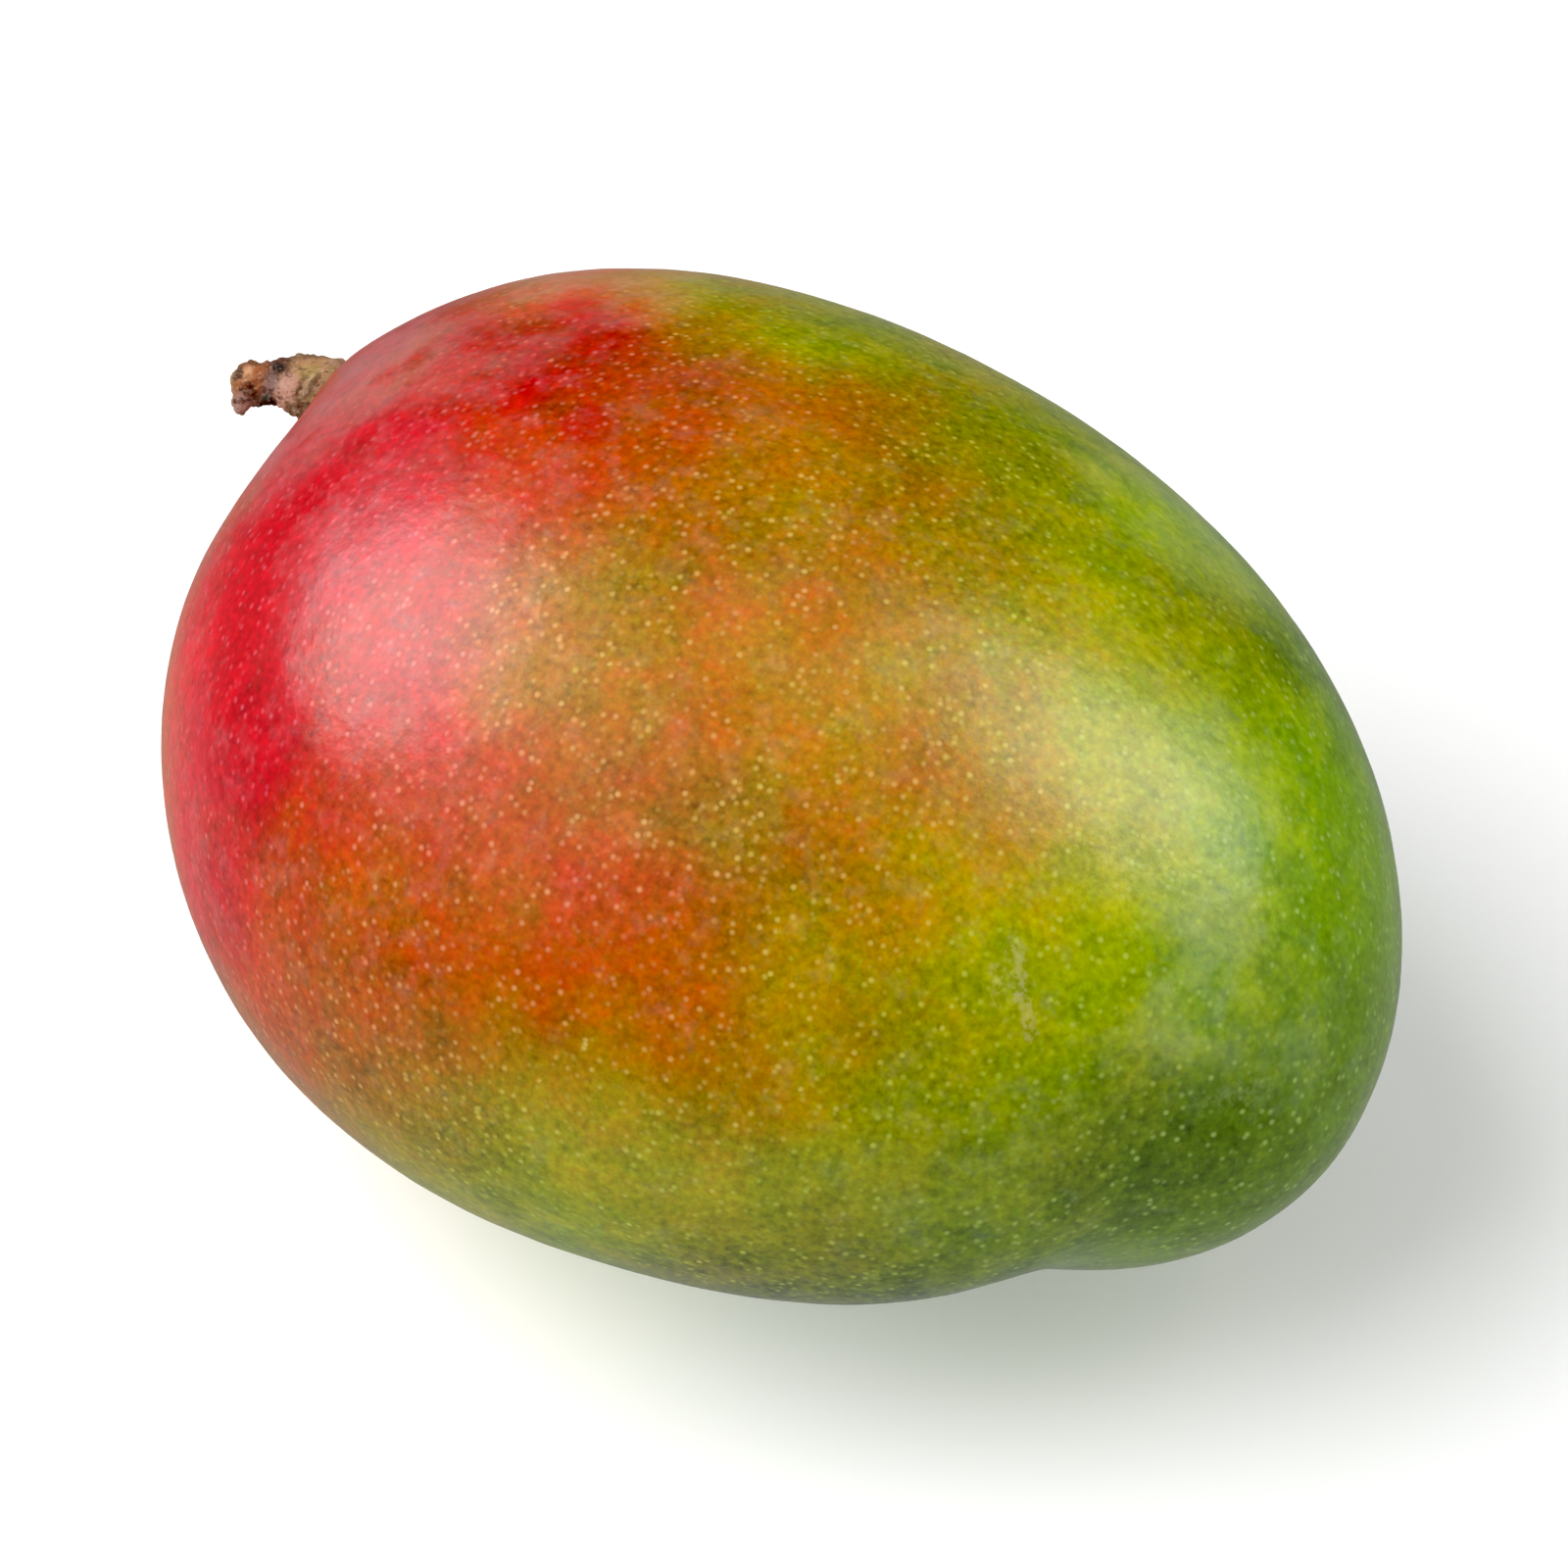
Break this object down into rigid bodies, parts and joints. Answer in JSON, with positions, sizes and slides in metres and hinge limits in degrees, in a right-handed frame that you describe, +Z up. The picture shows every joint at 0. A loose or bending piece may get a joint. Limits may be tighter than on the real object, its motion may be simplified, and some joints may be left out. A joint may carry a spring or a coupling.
{
  "type": "mango",
  "caption": "Ripe mango resting on its belly, red at the stem end and green towards the beak, with the dry woody stub of its stalk in the shoulder.",
  "frame": {"origin": "on the floor under the middle of the bounding box", "axes": "+Z up; +X along the fruit from the stem end to the beak end; +Y towards its back, away from the side with the sinus"},
  "size_m": [0.128, 0.0962, 0.081],
  "materials": {
    "skin": "smooth waxy fruit skin, semi-gloss, red to orange to green",
    "stem_wood": "dry rough bark, matt"
  },
  "bodies": {
    "root": {"fruit": "skin", "stem": "stem_wood"}
  },
  "joints": []
}
